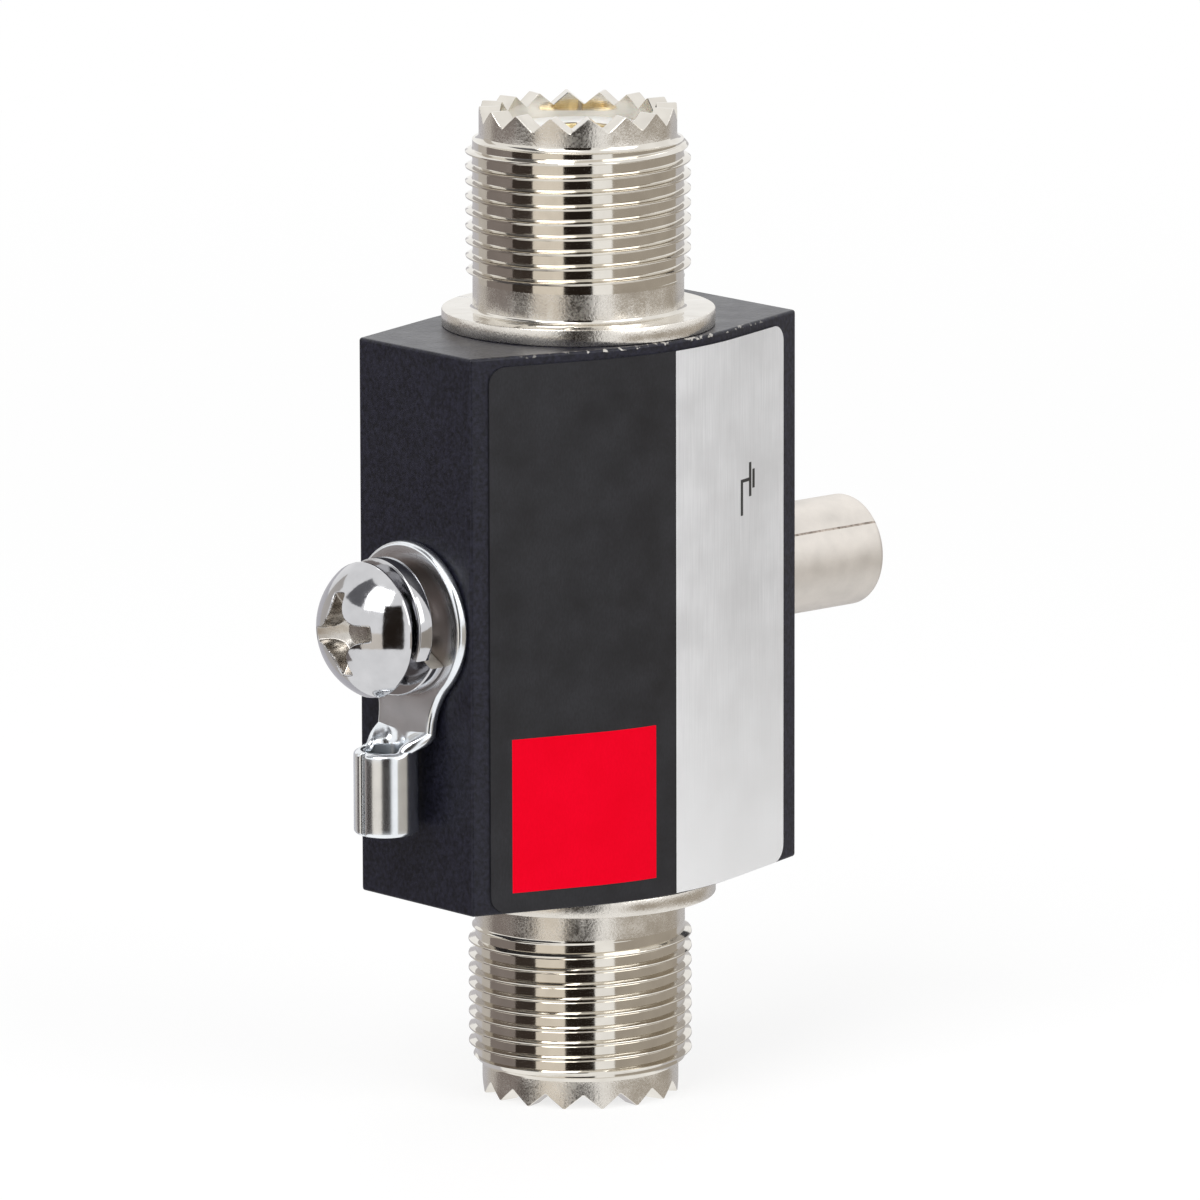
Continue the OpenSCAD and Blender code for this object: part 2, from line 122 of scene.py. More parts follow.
TURNED_EDGE = 0.1
INSULATOR_EDGE = 0.08
CONTACT_EDGE = 0.06
FLAT_ANGLE = 0.5  # degrees within which faces are merged

# Profile of every thread, as shares of its pitch
CREST_HALF = 0.22
CREST_FLANK = 0.18
FINE_THREAD_ROWS = 12  # in each turn of the cap's and the screw's thread

# Tube cap
CAP_START, CAP_END = (corner.x for corner in box_mm("tube_cap"))
CAP_R = box_mm("tube_cap")[1].y
CAP_SHANK_R = 3.5
CAP_SHANK_PITCH = 0.75
CAP_THREAD_DEPTH = 0.4
CAP_RELIEF = 0.6
CAP_SHOULDER_EDGE = 0.06
CAP_BORE_R = 2.95
CAP_FLOOR = CAP_END - 3.7
CAP_EDGE = 0.5
KEY_AF = 4.0
KEY_DEPTH = 2.0
SEAM_PLACE = 233.0  # degrees, as is the next
SEAM_WIDTH = 2.4

# Stack on the screw side, measured outwards from the side face
FACE_GAP = 0.04
LUG_T = 0.9
WASHER_START = 2 * FACE_GAP + LUG_T
WASHER_FREE_H = 2.84
HEAD_GAP = 0.5
HEAD_START = WASHER_START + WASHER_FREE_H + HEAD_GAP
HEAD_H = 3.1
HEAD_TOP = HEAD_START + HEAD_H
SCREW_TIP = -SIDE_X - box_mm("ground_screw")[1].x

# Spring washer
WASHER_R = 4.9
WASHER_BORE_R = 2.6
WASHER_T = 1.2
WASHER_SPLIT = 10.0  # degrees, as is the next
WASHER_END = 120.0
WASHER_EDGE = 0.12
WASHER_ROUND = 0.3 * WASHER_EDGE
WASHER_STEPS = 120

# Grounding screw
HEAD_R = box_mm("ground_screw")[1].y
HEAD_RIM_H = 0.15
SCREW_R = 2.45
SCREW_PITCH = 0.8
SCREW_THREAD_DEPTH = 0.42
SCREW_POINT = 0.6
POINT_EDGE = 0.05
COLLAR_R = SCREW_R - 0.1
COLLAR_H = 0.3
UNDERCUT_LOW, UNDERCUT_HIGH = 0.7, 0.5  # below the head
RECESS_REACH = 2.95
RECESS_FLOOR_R = 0.98
RECESS_WING = 1.0
RECESS_CORNER_R = 1.8
RECESS_DEPTH = 2.2
RECESS_WALL = 0.2
RECESS_TURN = 8.0  # degrees
RECESS_LIP = 0.1  # depth from which a face counts as recess
RECESS_BLEND = 0.05
DOME_EDGE = 0.03

# Ring lug, with distances down from the screw's axis
RING_R = 5.85
RING_BORE_R = 2.65
WAIST_HALF = 2.85
WAIST_DROP = 7.0
WAIST_R = (WAIST_DROP ** 2 + WAIST_HALF ** 2 - RING_R ** 2) / (RING_R - WAIST_HALF) / 2
TONGUE_ROOT = WAIST_DROP * RING_R / (RING_R + WAIST_R)
BARREL_R = 2.3
BARREL_START = 8.9
BARREL_LEN = 5.8
LUG_SEAM = 0.15
LUG_LIFT = 0.4
LUG_EDGE = 0.34
EDGE_STEPS = [LUG_EDGE * share for share in (0, 0.06, 0.2, 0.42, 0.7, 1)]
RING_INSET = 1.0
EAR_R = 0.75
EAR_RIM = BARREL_START - 0.2
EAR_START = EAR_RIM - EAR_R
BARREL_END = BARREL_START + BARREL_LEN
BARREL_INSET = 0.8
LIFT_END = BARREL_START - 0.3
FOLD_START = 7.5
FOLD_END = EAR_RIM - 0.05
FOLD_R = BARREL_R - LUG_T / 2
FOLD_HALF = math.pi * FOLD_R - LUG_SEAM / 2
FLAT_CURL = 1e-3  # share of the roll below which the sheet counts as flat
SLOPE_STEP = 0.01
SHADE_AND_SOIL_REACH = (4.6, 5.5)  # where the painted shade and soil under the washer fade and end

# Label
LABEL_T = 0.15
LABEL_SEAT = 0.004  # gap behind the label
PRINT_T = 0.03
LABEL_LEFT, LABEL_RIGHT = -13.95, 13.3
LABEL_LOW, LABEL_HIGH = BODY_BOTTOM + 0.15, BODY_TOP - 0.7
LABEL_CORNER = 1.2
SILVER_START = 0.3
RED_LEFT, RED_RIGHT = -12.43, -1.53
RED_LOW, RED_HIGH = BODY_BOTTOM + 1.5, BODY_BOTTOM + 12.45
PRINT_EDGE = 0.012
SIGN_LINE = 0.3
SIGN_X, SIGN_LOW, SIGN_HIGH = 7.58, MIDDLE_Z + 6.25, MIDDLE_Z + 8.84
SIGN_LEVELS = (LABEL_T + PRINT_T - 0.005, LABEL_T + PRINT_T + 0.01)
LONG_BAR_X, SHORT_BAR_X = SIGN_X + 1.1, SIGN_X + 1.55
SIGN_BARS = [  # left, right, low and high of the stem, its arm and the two bars
    (SIGN_X, SIGN_X + SIGN_LINE, SIGN_LOW, SIGN_HIGH),
    (SIGN_X + SIGN_LINE, LONG_BAR_X, SIGN_HIGH - 0.8 * SIGN_LINE, SIGN_HIGH),
    (LONG_BAR_X, LONG_BAR_X + SIGN_LINE, SIGN_HIGH - 1.36, SIGN_HIGH + 1.08),
    (SHORT_BAR_X, SHORT_BAR_X + SIGN_LINE, SIGN_HIGH - 0.82, SIGN_HIGH + 0.54),
]


# Camera, fitted to the block's corners and the connectors' rims in the photograph

PHOTO_SIZE = 1200
SENSOR = 36.0
FOCAL_PX = 12854.0
CAMERA_AZIMUTH = -41.16
CAMERA_ELEVATION = 11.15
CAMERA_ROLL = -0.135
CAMERA_DISTANCE = 908.7
CLIP_START = 0.01  # metres
BODY_CENTRE_PX = (579.2, 599.3)


def away_from_centre(azimuth, elevation):
    """Unit vector from the object towards a viewer at that azimuth and elevation, in degrees."""
    a, e = math.radians(azimuth), math.radians(elevation)
    return Vector((math.sin(a) * math.cos(e), -math.cos(a) * math.cos(e), math.sin(e)))


def make_camera():
    """The photo's camera: where it stands, how it is turned and how long its lens is."""
    back = away_from_centre(CAMERA_AZIMUTH, CAMERA_ELEVATION)
    right = Vector((0, 0, 1)).cross(back).normalized()
    up = back.cross(right)
    mm_per_px = CAMERA_DISTANCE / FOCAL_PX
    centre = Vector((0, 0, MIDDLE_Z))
    aim = centre + right * (PHOTO_SIZE / 2 - BODY_CENTRE_PX[0]) * mm_per_px
    aim -= up * (PHOTO_SIZE / 2 - BODY_CENTRE_PX[1]) * mm_per_px
    camera = bpy.data.objects.new("camera", bpy.data.cameras.new("camera"))
    camera.data.sensor_width = SENSOR
    camera.data.lens = FOCAL_PX / PHOTO_SIZE * SENSOR
    camera.data.clip_start = CLIP_START
    turn = Matrix((right, up, back)).transposed() @ Matrix.Rotation(math.radians(CAMERA_ROLL), 3, "Z")
    camera.matrix_world = Matrix.Translation((aim + back * CAMERA_DISTANCE) * MM) @ turn.to_4x4()
    bpy.context.scene.collection.objects.link(camera)
    bpy.context.scene.camera = camera


make_camera()


# Finishes

class Finish:
    """A principled material with textures in the piece's own coordinates."""

    def __init__(self, name, **sockets):
        self.material = bpy.data.materials.new(name)
        self.material.use_nodes = True
        self.tree = self.material.node_tree
        self.shader = self.tree.nodes["Principled BSDF"]
        self.set({key.replace("_", " "): value for key, value in sockets.items()})

    def set(self, sockets):
        """Give the shader's sockets values or links."""
        self.plug(self.shader, sockets)

    def plug(self, node, sockets):
        """Link what is a socket to a node's input, and set what is a plain value."""
        for name, value in sockets.items():
            if isinstance(value, bpy.types.NodeSocket):
                self.tree.links.new(value, node.inputs[name])
            else:
                node.inputs[name].default_value = value

    def add(self, kind, sockets, **settings):
        """A new node with its settings and inputs."""
        node = self.tree.nodes.new("ShaderNode" + kind)
        for key, value in settings.items():
            setattr(node, key, value)
        self.plug(node, sockets)
        return node

    def place(self):
        """The piece's own coordinates, in metres."""
        return self.add("TexCoord", {}).outputs["Object"]

    def along(self, axis):
        """One of the piece's own coordinates, in metres."""
        return self.add("SeparateXYZ", {"Vector": self.place()}).outputs[axis]

    def grain(self, size, stretch=(1, 1, 1), detail=3.0):
        """Noise whose features are about size millimetres, longer along axes with a small stretch."""
        mapping = self.add("Mapping", {"Vector": self.place(), "Scale": stretch})
        noise = self.add("TexNoise", {
            "Vector": mapping.outputs["Vector"], "Scale": 1 / (size * MM), "Detail": detail,
        })
        return noise.outputs["Fac"]

    def span(self, value, low, high, start=0.3, stop=0.7):
        """The value between start and stop, spread from low to high."""
        return self.add("MapRange", {
            "Value": value, "From Min": start, "From Max": stop, "To Min": low, "To Max": high,
        }).outputs["Result"]

    def mix(self, factor, first, second):
        """A colour between two, by a factor from 0 to 1."""
        node = self.add("Mix", {0: factor, 6: first, 7: second}, data_type="RGBA")
        return node.outputs[2]

    def both(self, first, second):
        """The product of two values."""
        return self.add("Math", {0: first, 1: second}, operation="MULTIPLY").outputs["Value"]

    def relief(self, height, depth, strength=1.0):
        """Bump that is depth millimetres deep."""
        return self.add("Bump", {
            "Height": height, "Distance": depth * MM, "Strength": strength,
        }).outputs["Normal"]


def shade(red, green, blue):
    """An opaque colour."""
    return (red, green, blue, 1.0)


def paint_finish(name, chipped):
    """Fine-grained black paint, and on the edges the small chips where it has worn off."""
    finish = Finish(name)
    fine, broad = finish.grain(0.3, detail=2), finish.grain(2.5)
    colour = finish.mix(finish.span(fine, 0, 1), shade(0.002, 0.002, 0.006), shade(0.016, 0.016, 0.031))
    facing = finish.add("SeparateXYZ", {"Vector": finish.add("TexCoord", {}).outputs["Normal"]})
    ends = finish.span(facing.outputs["Z"], 1, 0.7, 0.5, 0.9)
    rough = finish.both(finish.span(broad, 0.40, 0.50), ends)
    if chipped:
        near_top = finish.span(finish.along("Z"), 0, 1, *((BODY_TOP - drop) * MM for drop in CHIPS_BELOW_TOP))
        in_front = finish.span(finish.along("Y"), 1, 0, *(y * MM for y in CHIPS_IN_FRONT))
        chips = finish.span(finish.grain(0.55, detail=6), 0, 1, 0.56, 0.6)
        worn = finish.both(chips, finish.both(near_top, in_front))
        colour = finish.mix(worn, colour, shade(0.5, 0.48, 0.45))
        finish.set({"Metallic": finish.both(worn, 0.7)})
    finish.set({
        "Base Color": colour, "Roughness": rough, "Specular IOR Level": 0.35,
        "Normal": finish.relief(fine, 0.05, 0.6),
    })
    return finish.material


def print_finish(name, dark, light, brushed, foot_highlight=None, **sockets):
    """A printed field of the label, faintly brushed along Z or mottled, and with a painted highlight towards
    its foot if one is given.
    """
    finish = Finish(name, **sockets)
    streaks = finish.grain(0.12, (1, 1, 0.03) if brushed else (1, 1, 0.4))
    cloud = finish.grain(3.0)
    colour = finish.mix(finish.span(finish.both(streaks, cloud), 0, 1, 0.12, 0.4), dark, light)
    # painted highlight: the field turns lighter towards the block's underside
    if foot_highlight:
        foot = finish.span(finish.along("Z"), 1, 0, BODY_BOTTOM * MM, MIDDLE_Z * MM)
        colour = finish.mix(foot, colour, foot_highlight)
    finish.set({
        "Base Color": colour,
        "Roughness": finish.span(cloud, 0.33, 0.45),
        "Normal": finish.relief(streaks, 0.004, 0.35),
    })
    return finish.material


def metal_finish(name, dark, light, rough, grain_size, stretch=(1, 1, 1), depth=0.002,
                 cloud_size=1.8):
    """Bare or plated metal: a pair of tones, a span of roughness and marks of its making."""
    finish = Finish(name, Metallic=1.0)
    marks, cloud = finish.grain(grain_size, stretch), finish.grain(cloud_size)
    finish.set({
        "Base Color": finish.mix(finish.span(cloud, 0, 1), dark, light),
        "Roughness": finish.span(finish.both(marks, cloud), rough[0], rough[1], 0.1, 0.4),
        "Normal": finish.relief(marks, depth),
    })
    return finish.material


def insulator_finish():
    """Turned white polymer with faint tool marks round its axis."""
    finish = Finish("white_insulator", Subsurface_Weight=0.05, Subsurface_Scale=0.001)
    rings, cloud = finish.grain(0.15, (1, 1, 0.05)), finish.grain(1.5)
    finish.set({
        "Base Color": finish.mix(finish.span(cloud, 0, 1), shade(0.80, 0.80, 0.78), shade(0.88, 0.88, 0.86)),
        "Roughness": finish.span(rings, 0.38, 0.55),
        "Normal": finish.relief(rings, 0.006),
    })
    return finish.material


def sheet_finish():
    """Bright tin plate, darkened by painted shade and some soil where the washer bears on it."""
    finish = Finish("tinned_sheet", Metallic=1.0)
    cloud = finish.grain(1.8)
    clean = finish.mix(finish.span(cloud, 0, 1), shade(0.80, 0.83, 0.865), shade(0.89, 0.92, 0.95))
    from_screw = finish.add("VectorMath", {
        0: finish.place(), 1: (-SIDE_X * MM, 0, PORT_Z * MM),
    }, operation="DISTANCE").outputs["Value"]
    # painted shade, with some soil: the sheet darkens round the screw, where the head and washer shade it
    shade_and_soil = finish.span(from_screw, 1, 0, *(reach * MM for reach in SHADE_AND_SOIL_REACH))
    finish.set({
        "Base Color": finish.mix(shade_and_soil, clean, shade(0.46, 0.40, 0.37)),
        "Roughness": finish.span(shade_and_soil, 0.2, 0.36, 0, 1),
        "Normal": finish.relief(finish.grain(0.2), 0.001),
    })
    return finish.material


TURNED = (0.02, 0.02, 1)  # stretch of the marks that a lathe leaves
FINISHES = {
    "block_paint": paint_finish("block_paint", chipped=False),
    "block_edge": paint_finish("block_edge", chipped=True),
    "label_black": print_finish("label_black", shade(0.009, 0.009, 0.0115), shade(0.017, 0.017, 0.0215),
                                False, Specular_IOR_Level=0.4),
    # the silver field's last colour is a painted highlight, lighter towards its foot
    "label_silver": print_finish("label_silver", shade(0.70, 0.70, 0.71), shade(0.80, 0.80, 0.81), True,
                                 shade(0.95, 0.955, 0.965), Metallic=0.15),
    "label_red": print_finish("label_red", shade(0.92, 0.0003, 0.016), shade(0.97, 0.0006, 0.02), False,
                              Specular_IOR_Level=0.03),
    "label_ink": print_finish("label_ink", shade(0.012, 0.012, 0.013), shade(0.02, 0.02, 0.021), False),
    "bright_nickel": metal_finish("bright_nickel", shade(0.70, 0.665, 0.605), shade(0.80, 0.765, 0.70),
                                  (0.05, 0.11), 0.07, TURNED, 0.0015),
    "pitted_nickel": metal_finish("pitted_nickel", shade(0.70, 0.665, 0.61), shade(0.82, 0.785, 0.73),
                                  (0.16, 0.34), 0.16, depth=0.012),
    "white_insulator": insulator_finish(),
    "contact_metal": metal_finish("contact_metal", shade(0.68, 0.53, 0.28), shade(0.80, 0.66, 0.38),
                                  (0.16, 0.3), 0.08, TURNED),
    "tube_ceramic": print_finish("tube_ceramic", shade(0.78, 0.76, 0.70), shade(0.88, 0.86, 0.80), False),
    "electrode_metal": metal_finish("electrode_metal", shade(0.52, 0.52, 0.53), shade(0.64, 0.64, 0.65),
                                    (0.3, 0.45), 0.1),
    "spring_steel": metal_finish("spring_steel", shade(0.56, 0.56, 0.57), shade(0.68, 0.68, 0.69),
                                 (0.18, 0.3), 0.1),
    "satin_nickel": metal_finish("satin_nickel", shade(0.63, 0.595, 0.555), shade(0.73, 0.69, 0.645),
                                 (0.48, 0.6), 0.09, depth=0.006),
    "seam_dirt": metal_finish("seam_dirt", shade(0.10, 0.075, 0.055), shade(0.62, 0.55, 0.49),
                              (0.5, 0.7), 0.1, cloud_size=0.5),
    "tinned_sheet": sheet_finish(),
    "plated_steel": metal_finish("plated_steel", shade(0.55, 0.55, 0.565), shade(0.64, 0.64, 0.655),
                                 (0.06, 0.13), 0.4, depth=0.003),
    "sheared_steel": metal_finish("sheared_steel", shade(0.62, 0.60, 0.55), shade(0.80, 0.78, 0.72),
                                  (0.45, 0.6), 0.2, depth=0.02),
    "recess_steel": metal_finish("recess_steel", shade(0.36, 0.325, 0.29), shade(0.66, 0.635, 0.595),
                                 (0.18, 0.32), 0.25, depth=0.012),
}


# Mesh helpers

def at_upper_end(point):
    """A place of the upper connector, with heights from the block's top."""
    return Vector((point[0], point[1], BODY_TOP + point[2])) * MM


def at_lower_end(point):
    """A place of the lower connector, with heights down from the block's underside."""
    return Vector((point[0], -point[1], BODY_BOTTOM - point[2])) * MM


def at_cap_side(point):
    """A place of the tube cap, with heights along X from the block's middle."""
    return Vector((point[2], point[1], PORT_Z - point[0])) * MM


def at_screw_side(point):
    """A place of the screw's stack, with heights outwards from the side face."""
    return Vector((-SIDE_X - point[2], point[1], PORT_Z + point[0])) * MM


def as_drawn(point):
    """A place in the part's own frame."""
    return Vector(point) * MM


def polar(radius, angle, height):
    """A place from its distance and angle round an axis, and its height."""
    a = math.radians(angle)
    return (radius * math.cos(a), radius * math.sin(a), height)


def smooth_step(value):
    """An even rise from 0 to 1 without corners."""
    t = min(max(value, 0.0), 1.0)
    return t * t * (3 - 2 * t)


def even(start, stop, count):
    """Count values from start to stop, both included."""
    return [start + (stop - start) * i / (count - 1) for i in range(count)]


def fill_grid(mesh, grid, closed_rows=False, closed_columns=False):
    """Quads between neighbouring rows and columns of a grid of vertices."""
    rows = grid + grid[:1] if closed_rows else grid
    faces = []
    for lower, upper in zip(rows, rows[1:]):
        if closed_columns:
            lower, upper = lower + lower[:1], upper + upper[:1]
        for a, b, c, d in zip(lower, lower[1:], upper[1:], upper):
            faces.append(mesh.faces.new((a, b, c, d)))
    return faces


def finish_mesh(mesh):
    """Weld the seams, drop what collapsed there and turn every face outwards."""
    bmesh.ops.remove_doubles(mesh, verts=mesh.verts, dist=WELD)
    bmesh.ops.dissolve_degenerate(mesh, edges=mesh.edges, dist=WELD)
    bmesh.ops.recalc_face_normals(mesh, faces=mesh.faces)


def piece_from(mesh, name, finishes):
    """A new object from a bmesh, with its finishes in slot order."""
    data = bpy.data.meshes.new(name)
    mesh.to_mesh(data)
    mesh.free()
    piece = bpy.data.objects.new(name, data)
    bpy.context.scene.collection.objects.link(piece)
    for finish in finishes:
        data.materials.append(FINISHES[finish])
    return piece


def settle(piece, sharp=35):
    """Apply the modifiers, then shade smoothly between edges sharper than an angle."""
    graph = bpy.context.evaluated_depsgraph_get()
    data = bpy.data.meshes.new_from_object(piece.evaluated_get(graph))
    piece.modifiers.clear()
    old, piece.data = piece.data, data
    bpy.data.meshes.remove(old)
    data.shade_smooth()
    data.set_sharp_from_angle(angle=math.radians(sharp))
    return piece


def soften(piece, width, segments=3, angle=40, finish_slot=-1):
    """Round the edges that turn by more than an angle."""
    bevel = piece.modifiers.new("edges", "BEVEL")
    bevel.width = width * MM
    bevel.segments = segments
    bevel.limit_method = "ANGLE"
    bevel.angle_limit = math.radians(angle)
    bevel.material = finish_slot
    bevel.use_clamp_overlap = True
    return piece


def weigh_normals(piece):
    """Shade large flat faces flat beside small rounded edges."""
    weighted = piece.modifiers.new("normals", "WEIGHTED_NORMAL")
    weighted.keep_sharp = True
    return piece


def cut(piece, *cutters):
    """Take the cutters out of a piece and drop them."""
    for cutter in cutters:
        boolean = piece.modifiers.new("cut", "BOOLEAN")
        boolean.operation = "DIFFERENCE"
        boolean.solver = "EXACT"
        boolean.object = cutter
    settle(piece)
    for cutter in cutters:
        bpy.data.objects.remove(cutter)
    return piece


def hand_over(piece, body, slot, *nodes):
    """The piece rides a body and stands for its nodes, which are hidden; slot is not used."""
    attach(piece, body)
    if nodes:
        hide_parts(*nodes)
    return piece


def turned(name, rows, columns, place, finishes, closed=True, finish_of=None):
    """A skin through rows of radius and height round an axis: one function of the angle for each row."""
    mesh = bmesh.new()
    grid = []
    for row in rows:
        points = (polar(row(angle)[0], angle, row(angle)[1]) for angle in columns)
        grid.append([mesh.verts.new(place(point)) for point in points])
    faces = fill_grid(mesh, grid, closed_rows=closed)
    if finish_of:
        wide = len(columns) - 1
        for i, face in enumerate(faces):
            face.material_index = finish_of(i // wide, i % wide)
    finish_mesh(mesh)
    return piece_from(mesh, name, finishes)


def ring(radius, height):
    """A row of a turned piece that stays level."""
    return lambda angle: (radius, height)


def rings(points):
    """Level rows through pairs of radius and height."""
    return [ring(radius, height) for radius, height in points]


def thread_rows(start, stop, pitch, depth, crest_r, start_r, rows_per_turn=20, bevel=0.6, run_out=0.6,
                crest_at=0.5):
    """Rows that follow a right-hand thread from start to stop.

    Each row climbs by one pitch in a turn, so the rows meet themselves a turn further up. The crests fade
    in over the run-out and end at a bevelled point. The first crest is crest_at pitches above the start.
    """
    root_r = crest_r - depth

    def radius(phase, height):
        """Distance from the axis at a share of the pitch, faded at the start and bevelled at the end."""
        from_crest = abs((phase - crest_at + 0.5) % 1 - 0.5)
        crest = smooth_step((CREST_HALF - from_crest) / CREST_FLANK)
        fade = smooth_step((height - start) / run_out)
        root = start_r + (root_r - start_r) * fade
        return min(root + depth * crest * fade, root_r + max(stop - height, 0) * depth / bevel)

    def row(step):
        """One row, so many steps above the first turn."""
        def at(angle):
            height = start + pitch * (step / rows_per_turn + angle / 360)
            level = min(max(height, start), stop)
            return radius(step / rows_per_turn % 1, level), level
        return at

    last = math.ceil((stop - start) / pitch * rows_per_turn)
    return [row(step) for step in range(-2 * rows_per_turn, last + rows_per_turn + 1)]


# Block and label

def face_y(x, grow=0.0):
    """Distance of the block's front face from the middle plane at x, with the face moved out by grow."""
    ridge_r = RIDGE_R + grow
    if abs(x) < ridge_r * math.sin(FACE_SLOPE):
        return RIDGE_CENTRE_Y + math.sqrt(ridge_r ** 2 - x ** 2)
    side_y = SIDE_FACE_W / 2 + grow / math.cos(FACE_SLOPE)
    return side_y + (SIDE_X - abs(x)) * math.tan(FACE_SLOPE)


def rod(radius, start, stop, place):
    """A plain round cutter."""
    points = [(0, start), (radius, start), (radius, stop), (0, stop)]
    return turned("cutter", rings(points), even(0, 360, 97), place, [], closed=False)


def make_block():
    """The painted block: six-sided in plan with round ridges, bored for all that it holds."""
    ridge = RIDGE_R * math.sin(FACE_SLOPE)
    across = [-SIDE_X] + even(-ridge, ridge, 33) + [SIDE_X]
    outline = [(x, -face_y(x)) for x in across] + [(x, face_y(x)) for x in reversed(across)]
    mesh = bmesh.new()
    lower, upper = (
        [mesh.verts.new(as_drawn((x, y, z))) for x, y in outline] for z in (BODY_BOTTOM, BODY_TOP)
    )
    fill_grid(mesh, [lower, upper], closed_columns=True)
    mesh.faces.new(lower)
    mesh.faces.new(upper)
    finish_mesh(mesh)
    block = piece_from(mesh, "painted_block", ["block_paint", "block_edge"])
    soften(block, BLOCK_EDGE, finish_slot=1)
    settle(block)
    cut(
        block,
        rod(SPIGOT_D / 2 + SPIGOT_FIT, -SPIGOT_LEN, CUT_PAST, at_upper_end),
        rod(SPIGOT_D / 2 + SPIGOT_FIT, -SPIGOT_LEN, CUT_PAST, at_lower_end),
        rod(CAVITY_D / 2, -BODY_TOP, CUT_PAST, at_upper_end),
        rod(CAP_SHANK_R + PORT_FIT, 0, SIDE_X + CUT_PAST, at_cap_side),
        rod(SCREW_R + PORT_FIT, -SCREW_HOLE_DEPTH, CUT_PAST, at_screw_side),
    )
    weigh_normals(block)
    hand_over(block, "housing", "block_paint", "body")


def label_end(x):
    """How far the label's rounded corners pull its upper and lower edge in at x."""
    to_side = min(x - LABEL_LEFT, LABEL_RIGHT - x)
    if to_side >= LABEL_CORNER:
        return 0.0
    return LABEL_CORNER - math.sqrt(max(LABEL_CORNER ** 2 - (LABEL_CORNER - to_side) ** 2, 0))


def label_field(x, z):
    """Which printed field a place on the label belongs to: 0 black, 1 silver, 2 red."""
    if x > SILVER_START:
        return 1
    return 2 if RED_LEFT < x < RED_RIGHT and RED_LOW < z < RED_HIGH else 0


def make_label():
    """The foil label over the front ridge, with its silver and red fields a little raised."""
    corner = [LABEL_CORNER * (1 - math.cos(math.radians(a))) for a in range(0, 91, 9)]
    edges = [e + s * PRINT_EDGE for e in (RED_LEFT, RED_RIGHT, SILVER_START) for s in (-1, 1)]
    across = {LABEL_LEFT + c for c in corner} | {LABEL_RIGHT - c for c in corner} | set(edges)
    across = sorted(across | set(even(LABEL_LEFT + LABEL_CORNER, LABEL_RIGHT - LABEL_CORNER, 61)))
    levels = [e + s * PRINT_EDGE for e in (RED_LOW, RED_HIGH) for s in (-1, 1)]
    levels = sorted(levels + even(LABEL_LOW + LABEL_CORNER, LABEL_HIGH - LABEL_CORNER, 40))
    mesh = bmesh.new()

    def skin(raised):
        """A grid of vertices over the label's face, or over its back."""
        grid = []
        for z in [LABEL_LOW] + levels + [LABEL_HIGH]:
            row = []
            for x in across:
                end = label_end(x)
                level = min(max(z, LABEL_LOW + end), LABEL_HIGH - end)
                printed = PRINT_T if label_field(x, level) else 0.0
                grow = LABEL_T + printed if raised else LABEL_SEAT
                row.append(mesh.verts.new(as_drawn((x, -face_y(x, grow), level))))
            grid.append(row)
        return grid

    front, back = skin(True), skin(False)
    for face in fill_grid(mesh, front):
        middle = face.calc_center_median() / MM
        face.material_index = label_field(middle.x, middle.z)
    fill_grid(mesh, back)
    for side in (0, -1):
        fill_grid(mesh, [front[side], back[side]])
        fill_grid(mesh, [[row[side] for row in front], [row[side] for row in back]])
    finish_mesh(mesh)
    label = piece_from(mesh, "printed_label", ["label_black", "label_silver", "label_red"])
    settle(label, 40)
    hand_over(label, "housing", "label_print", "front_label")


def make_sign():
    """The general sign for earth, printed on the silver field: a bent stem and two bars."""
    mesh = bmesh.new()
    for x_low, x_high, z_low, z_high in SIGN_BARS:
        grid = []
        for grow in SIGN_LEVELS:
            corners = ((x_low, z_low), (x_high, z_low), (x_high, z_high), (x_low, z_high))
            grid.append([mesh.verts.new(as_drawn((x, -face_y(x, grow), z))) for x, z in corners])
        fill_grid(mesh, grid, closed_columns=True)
        for face in grid:
            mesh.faces.new(face)
    finish_mesh(mesh)
    hand_over(piece_from(mesh, "label_sign", ["label_ink"]), "housing", "label_print")


make_block()
make_label()
make_sign()


# Coax connectors

def crown_top(radius, angle, turn):
    """Height of the toothed edge at a radius and an angle."""
    pitch = 360 / TOOTH_COUNT
    off = abs((angle - turn) % pitch - pitch / 2)
    half = pitch / 2 * (1 - TIP_LAND)
    notch = math.cos(math.radians(off)) - math.sin(math.radians(off)) / math.tan(math.radians(half))
    return SHELL_REACH - TOOTH_H * radius / CROWN_R * max(notch, 0.0)


def crown_row(radius, turn, drop=0.0):
    """A row along the toothed edge, or a drop below it."""
    return lambda angle: (radius, crown_top(radius, angle, turn) - drop)


def share_row(first, second, share):
    """A row part of the way from one row to another."""
    return lambda angle: tuple(a + (b - a) * share for a, b in zip(first(angle), second(angle)))


def crown_columns(turn):
    """Angles of a full turn that fall on the tips, the tooth flanks and the notches."""
    land = TIP_LAND / 2
    in_tooth = [land, *TOOTH_STEPS, 1 - land]
    pitch = 360 / TOOTH_COUNT
    angles = [turn + pitch * (i + share) for i in range(TOOTH_COUNT) for share in in_tooth]
    return angles + [turn + pitch * land + 360]


